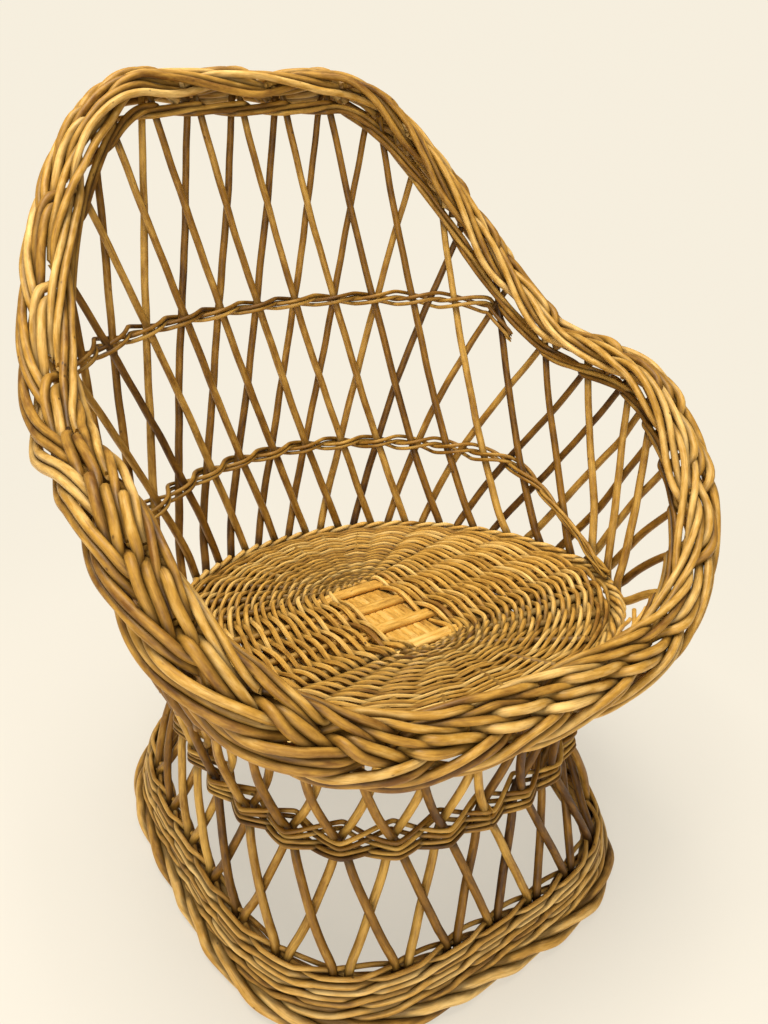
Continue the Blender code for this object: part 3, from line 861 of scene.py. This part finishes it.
def spokeRoom(turn, share):
    apart = seatSpot(turn + fullTurn / seat["spokes"], share, 0.0) - seatSpot(turn, share, 0.0)
    return np.minimum(np.linalg.norm(apart, axis=1) / seat["openSpacing"], 1)


turn = np.linspace(0, fullTurn, seat["steps"], endpoint=False)
pitch = np.linalg.norm(seatSpot(turn, 1.0, 0.0) - seatSpot(turn, 0.0, 0.0), axis=1) / seat["rows"]
weavers = []
for n in range(seat["rows"] + seat["extraRows"]):
    wobble = sum(np.sin(turn * waves + chance.uniform(0, fullTurn)) for waves in seat["wobbleWaves"])
    share = (n + 1) / seat["rows"] + seat["wobble"] * wobble
    lift = seat["over"] * np.cos(seat["spokes"] / 2 * turn + math.pi * n)
    lift = lift * np.maximum(spokeRoom(turn, share), seat["leastOver"])
    lift = lift * (1 - seat["calm"] * smooth(*seat["calmFrom"], np.abs(np.cos(turn))))
    lift = lift * (1 - seat["edgeCalm"] * smooth(*seat["edgeFrom"], share))
    thick = np.clip(pitch * seat["weaverFill"], *seat["weaver"]) * chance.uniform(*seat["weaverVary"])
    weavers.append(makeRod(seatSpot(turn, share, lift), thick, closed=True, stray=seat["weaverStray"]))
addPiece("seatWeave", weavers, ["seat_weave_top"], "seat_willow", sides=6)

look = seat["under"]
rods = []
for n in range(look["rows"]):
    lift = look["over"] * np.cos(seat["spokes"] / 2 * turn + math.pi * n) - look["drop"]
    spots = seatSpot(turn, np.full(len(turn), (n + look["first"]) / look["rows"]), lift)
    rods.append(makeRod(spots, look["diameter"], closed=True, stray=seat["weaverStray"]))
addPiece("seatUnder", rods, ["seat_weave_under"], "seat_willow", sides=6)

look = seat["spoke"]
share = np.linspace(*look["reach"], look["points"])
spokes = []
for i in range(seat["spokes"]):
    facing = np.full(len(share), fullTurn * i / seat["spokes"])
    lift = look["lift"] - look["sunk"] * (1 - spokeRoom(facing, share))
    spots = seatSpot(facing, share, lift)
    spokes.append(makeRod(spots, look["diameter"], taper=look["taper"], stray=look["stray"]))
addPiece("seatSpokes", spokes, [], "seat_willow")


# Flat sticks whose ends dip under the weave
def stickPiece(name, lines, look, nodes):
    thick = seat["stickThick"]
    curve = bpy.data.curves.new(name, "CURVE")
    curve.dimensions = "3D"
    curve.twist_mode = "Z_UP"
    curve.extrude = look["wide"] / 2 - thick * seat["stickEdge"]
    curve.bevel_depth = thick / 2
    curve.bevel_resolution = 2
    curve.use_fill_caps = True
    for start, end in lines:
        spots = np.linspace(start, end, seat["stickPoints"])
        height = seatMiddle[2] - tub["seatSlope"] * (spots[:, 1] - seatMiddle[1]) + look["lift"]
        height = height - thick * np.abs(np.linspace(-1, 1, len(spots))) ** seat["stickDip"]
        spline = curve.splines.new("POLY")
        spline.points.add(len(spots) - 1)
        spline.points.foreach_set("co", np.c_[spots, height, np.ones(len(spots))].ravel())
        spline.points.foreach_set("tilt", np.full(len(spots), math.pi / 2))
    mesh = curveMesh(name, curve)
    shape = bmesh.new()
    shape.from_mesh(mesh)
    bmesh.ops.remove_doubles(shape, verts=shape.verts[:], dist=seat["stickWeld"])
    bmesh.ops.recalc_face_normals(shape, faces=shape.faces[:])
    shape.to_mesh(mesh)
    shape.free()
    mesh.set_sharp_from_angle(angle=rodLook["sharp"])
    spots = np.empty(len(mesh.vertices) * 3)
    mesh.vertices.foreach_get("co", spots)
    spots = spots.reshape(-1, 3)
    start, end = np.array(lines[0])
    along = unit(np.append(end - start, 0.0))
    across = np.cross(along, (0, 0, 1))
    length = spots @ along + chance.uniform(0, rodLook["farApart"])
    places = np.stack([length, spots @ across, spots[:, 2]], axis=-1)
    markRods(mesh, places, np.full(len(spots), chance.uniform(*seat["stickTint"])))
    placePiece(name, mesh, nodes, "seat_willow")


slath = seatMiddle[:2] + (0, seat["windowShift"])
look = seat["longSticks"]
for i in range(look["count"]):
    x = (i - (look["count"] - 1) / 2) * look["pitch"]
    nodes = [f"seat_long_stick_{i + 1}"] if i < look["nodes"] else []
    stickPiece(f"longStick_{i + 1}", [slath + [(x, -look["reach"]), (x, look["reach"])]], look, nodes)
look = seat["crossSticks"]
for i in range(look["count"]):
    y = (i - (look["count"] - 1) / 2) * look["pitch"]
    halves = [y - look["wide"] / 2, y + look["wide"] / 2]
    lines = [slath + [(-look["reach"], half), (look["reach"], half)] for half in halves]
    stickPiece(f"crossStick_{i + 1}", lines, look, [f"seat_cross_stick_{i + 1}"])

# Twisted row on the hoop
edge = {
    "rods": 3, "turns": 24, "hold": 0.64, "points": 1080,
    "diameter": 0.0040, "out": 0.0062, "inward": 0.45, "low": 0.004, "high": 0.0034,
}
angle = np.linspace(0, fullTurn, edge["points"], endpoint=False)
wall = np.linalg.norm(rimPoint(angle) - seatPoint(angle), axis=1)
rods = []
for i in range(edge["rods"]):
    sway, rise = walePath(edge["turns"] * angle / fullTurn + i / edge["rods"], edge["hold"])
    out = -edge["out"] * (edge["inward"] + (1 - edge["inward"]) * sway)
    spots = wallSpot(angle, (edge["low"] + edge["high"] * rise) / wall, out)
    rods.append(makeRod(spots, edge["diameter"], closed=True))
addPiece("seatEdge", rods, ["seat_hoop"], "seat_willow")

# Plain weave between the seat and the border at the front
apron = {
    "rows": 8, "first": 0.6, "diameter": 0.0030, "turns": (136, 224), "spacing": math.radians(9),
    "over": 0.0022, "inward": 0.001, "keys": 200, "step": 0.004,
}
angle = np.linspace(*np.radians(apron["turns"]), apron["keys"])
rods = []
for i in range(apron["rows"]):
    rise = (i + apron["first"]) / (apron["rows"] + 1 + apron["first"])
    out = apron["over"] * np.cos(math.pi * (angle / apron["spacing"] + i)) - apron["inward"]
    rods.append(makeRod(throughKeys(wallSpot(angle, rise, out), apron["step"]), apron["diameter"]))
addPiece("apron", rods, [], "seat_willow")
print("seat:", len(weavers), "rows")


# Base stakes: pairs that cross half way up, at the waist row and again below the seat
legs = {
    "pairs": 27,
    "runs": 6,
    "diameter": 0.0060,
    "taper": (1.05, 0.92),
    "start": 0.12,  # lean at the foot band, in spacings
    "topLean": 1.67,  # and at the seat
    "topEase": 2.2,
    "layer": 0.0034,
    "part": (0.0, 0.35),  # height shares where the rods of a pair part into their layers
    "meet": (1.34, 1.5),  # and where they meet again
    "rises": (-0.72, -0.35, 0.0, 0.2, 0.5, 0.75, 1.0, 1.05, 1.1, 1.16, 1.22, 1.3, 1.4, 1.5),
    "step": 0.006,
    "stray": 0.8,
}
legSpacing = fullTurn / legs["pairs"]


def legRod(pair, side):
    rise = np.array(legs["rises"])
    left = np.clip(3 - 2 * rise, 0, 1)
    over = (legs["topLean"] - 1) * (1 - left ** legs["topEase"])
    lean = legs["start"] + (1 - legs["start"]) * np.clip(rise, 0, 1) + over
    out = -side * legs["layer"] * smooth(*legs["part"], rise) * (1 - smooth(*legs["meet"], rise))
    spots = throughKeys(baseSpot(legSpacing * (pair + side * lean), rise, out), legs["step"])
    return makeRod(spots, legs["diameter"], taper=legs["taper"], stray=legs["stray"])


for run in range(legs["runs"]):
    rods = [legRod(pair, side) for pair in range(run, legs["pairs"], legs["runs"]) for side in (-1, 1)]
    addPiece(f"baseStakes_{run + 1}", rods, [f"base_stake_run_{run + 1}"], "stake_willow", sides=10)

# Waist row: rods that change sides at every crossing
waist = {
    "diameter": 0.0031, "out": 0.0084, "point": 0.88, "low": 0.0022, "slant": 0.0008,
    "levels": (-2.1, -1.05, 0.75, 1.8),  # in diameters
    "points": 810, "stray": 0.6,
}
bandHeight = base["band"][-1]
waistHeight = base["waist"][-1] - bandHeight
angle = np.linspace(0, fullTurn, waist["points"], endpoint=False)
rods = []
for turn in (0, math.pi):
    for level in waist["levels"]:
        sway = pointed(math.pi * angle / legSpacing + turn, waist["point"])
        slant = np.sin(math.pi * angle / legSpacing + turn)
        lift = level * waist["diameter"] - waist["low"] + slant * waist["slant"]
        spots = baseSpot(angle, 1.0 + lift / waistHeight, waist["out"] * sway)
        rods.append(makeRod(spots, waist["diameter"], closed=True, stray=waist["stray"]))
addPiece("waistRow", rods, ["waist_wale_inner", "waist_wale_outer"], "stake_willow")
print("base stakes and waist row")


# Foot band: rows of waling, a thin row over them, and the thick rope that the chair stands on
foot = {
    "rows": 3, "rods": 4, "diameter": 0.0046, "turns": 7, "shift": 0.21,
    "pitch": 0.0090, "low": 0.0172, "out": 0.0060, "high": 0.0026, "full": 0.5, "stray": 0.6,
    "innerRow": 1, "points": 900, "settle": 30, "quickSettle": 10, "soft": 2,
}
trim = {
    "rods": 3, "diameter": 0.0034, "turns": 9, "height": 0.0425,
    "out": 0.0058, "high": 0.0012, "full": 0.1, "stray": 0.6,
}
rope = {
    "rods": 5, "diameter": 0.0072, "turns": 5, "middle": 0.0084,
    "high": 0.0046, "out": 0.0066, "shift": 0.0036, "stray": 0.5,
}
angle = np.linspace(0, fullTurn, foot["points"], endpoint=False)


def footWale(look, height, shift):
    rods = []
    for i in range(look["rods"]):
        phase = look["turns"] * angle + fullTurn * (i / look["rods"] + shift)
        out = np.clip((1 + look["full"]) * np.cos(phase) + look["full"], -1, 1)
        level = (height + look["high"] * np.sin(phase)) / bandHeight - 1
        spots = baseSpot(angle, level, look["out"] * out)
        rods.append(makeRod(spots, look["diameter"], closed=True, stray=look["stray"]))
    return rods


rows = []
for row in range(foot["rows"]):
    rows += footWale(foot, foot["low"] + row * foot["pitch"], row * foot["shift"])
trimRods = footWale(trim, trim["height"], 0.0)
ropeRods = []
for i in range(rope["rods"]):
    phase = rope["turns"] * angle + fullTurn * i / rope["rods"]
    height = rope["middle"] - rope["high"] * np.sin(phase)
    spots = baseSpot(angle, height / bandHeight - 1, rope["shift"] + rope["out"] * np.cos(phase))
    ropeRods.append(makeRod(spots, rope["diameter"], closed=True, stray=rope["stray"]))
rounds = foot["settle"]
settleRods(rows + trimRods + ropeRods, rounds, foot["soft"])
addPiece("footTrim", trimRods, ["foot_row_outer_4"], "foot_willow")
for rod in rows + ropeRods:  # none goes below the floor
    rod["spots"][:, 2] = np.maximum(rod["spots"][:, 2], rod["thick"])
for row in range(foot["rows"]):
    nodes = [f"foot_row_outer_{row + 1}"] + (["foot_row_inner"] if row == foot["innerRow"] else [])
    first = row * foot["rods"]
    addPiece(f"footRow_{row + 1}", rows[first:first + foot["rods"]], nodes, "foot_willow", sides=10)
addPiece("footRope", ropeRods, ["foot_border_inner", "foot_border_outer"], "foot_willow", sides=12)
print("foot band")
# Painted shade in the crevices between rods, from how closely each point faces its neighbours
shadeCrevices()
print("crevices:", len(woven), "pieces shaded")


# Floor, light and camera
studio = {
    "floorSize": 60.0,
    "floorRough": 0.9,
    "floorColour": (0.74, 0.70, 0.62),  # as the camera sees it
    "bounce": (0.95, 0.92, 0.86),  # as it lights the chair
    "paper": (0.925, 0.860, 0.730),  # what the camera sees round the chair
    "paperShare": (0.60, 1.0),  # close to the chair, where its shadow lies, and far away
    "paperReach": (0.10, 0.9),
    "world": (1.0, 0.97, 0.92),
    "worldLevel": 0.26,
    "key": {"place": (-0.3, 0.05, 2.4), "size": 1.1, "power": 65, "colour": (1.0, 0.95, 0.86)},
    "fill": {"place": (-1.3, -1.8, 1.0), "size": 1.6, "power": 36, "colour": (1.0, 0.96, 0.90)},
    "aim": (0.0, 0.0, 0.25),
}
shape = bmesh.new()
bmesh.ops.create_grid(shape, x_segments=1, y_segments=1, size=studio["floorSize"] / 2)
floorMesh = bpy.data.meshes.new("floor")
shape.to_mesh(floorMesh)
shape.free()
floor = bpy.data.objects.new("floor", floorMesh)
bpy.context.scene.collection.objects.link(floor)
floorMaterial = bpy.data.materials.new("paleFloor")
floorMaterial.use_nodes = True
sheet = Sheet(floorMaterial.node_tree)
seen = sheet.node("ShaderNodeLightPath", {}, {}, "Is Camera Ray")
colours = {0: seen, 6: (*studio["bounce"], 1.0), 7: (*studio["floorColour"], 1.0)}
tone = sheet.node("ShaderNodeMix", {"data_type": "RGBA"}, colours, 2)
shader = sheet.node("ShaderNodeBsdfPrincipled", {}, {"Base Color": tone, "Roughness": studio["floorRough"]})
paper = sheet.node("ShaderNodeEmission", {}, {"Color": (*studio["paper"], 1.0), "Strength": 1.0})
place = sheet.node("ShaderNodeTexCoord", {}, {}, "Object")
distance = sheet.node("ShaderNodeVectorMath", {"operation": "LENGTH"}, {0: place}, "Value")
near, far = studio["paperReach"]
low, high = studio["paperShare"]
share = sheet.node("ShaderNodeMapRange", {"interpolation_type": "SMOOTHSTEP"}, {
    "Value": distance, "From Min": near, "From Max": far, "To Min": low, "To Max": high,
})
shader = sheet.node("ShaderNodeMixShader", {}, {0: share * seen, 1: shader, 2: paper})
sheet.node("ShaderNodeOutputMaterial", {}, {"Surface": shader})
floorMesh.materials.append(floorMaterial)

world = bpy.data.worlds.new("studio")
bpy.context.scene.world = world
world.use_nodes = True
sheet = Sheet(world.node_tree)
sky = sheet.node("ShaderNodeBackground", {}, {
    "Color": (*studio["world"], 1.0), "Strength": studio["worldLevel"],
})
paper = sheet.node("ShaderNodeBackground", {}, {"Color": (*studio["paper"], 1.0), "Strength": 1.0})
seen = sheet.node("ShaderNodeLightPath", {}, {}, "Is Camera Ray")
sky = sheet.node("ShaderNodeMixShader", {}, {0: seen, 1: sky, 2: paper})
sheet.node("ShaderNodeOutputWorld", {}, {"Surface": sky})
for name in ("key", "fill"):
    setting = studio[name]
    lamp = bpy.data.lights.new(name, "AREA")
    lamp.size = setting["size"]
    lamp.energy = setting["power"]
    lamp.color = setting["colour"]
    holder = bpy.data.objects.new(name, lamp)
    holder.location = setting["place"]
    ray = Vector(studio["aim"]) - Vector(setting["place"])
    holder.rotation_euler = ray.to_track_quat("-Z", "Y").to_euler()
    bpy.context.scene.collection.objects.link(holder)

view = {
    "place": (-0.3055, -0.4719, 0.5773),
    "yaw": -34.23,
    "pitch": 28.38,
    "roll": 2.56,
    "focal": 914.0 / 1024,  # in frame heights
    "sensor": 36.0,
    "nearest": 0.01,
}
yaw, pitch, roll = (math.radians(view[name]) for name in ("yaw", "pitch", "roll"))
forward = Vector((-math.sin(yaw) * math.cos(pitch), math.cos(yaw) * math.cos(pitch), -math.sin(pitch)))
right = Vector((math.cos(yaw), math.sin(yaw), 0.0))
up = right.cross(forward)
tiltedRight = right * math.cos(roll) + up * math.sin(roll)
tiltedUp = up * math.cos(roll) - right * math.sin(roll)
lens = bpy.data.cameras.new("camera")
lens.sensor_fit = "VERTICAL"
lens.sensor_height = view["sensor"]
lens.lens = view["focal"] * lens.sensor_height
lens.clip_start = view["nearest"]
camera = bpy.data.objects.new("camera", lens)
turn = Matrix((tiltedRight, tiltedUp, -forward)).transposed().to_4x4()
camera.matrix_world = Matrix.Translation(view["place"]) @ turn
bpy.context.scene.collection.objects.link(camera)
bpy.context.scene.camera = camera
bpy.context.scene.view_settings.view_transform = "Standard"
print("floor, light and camera")
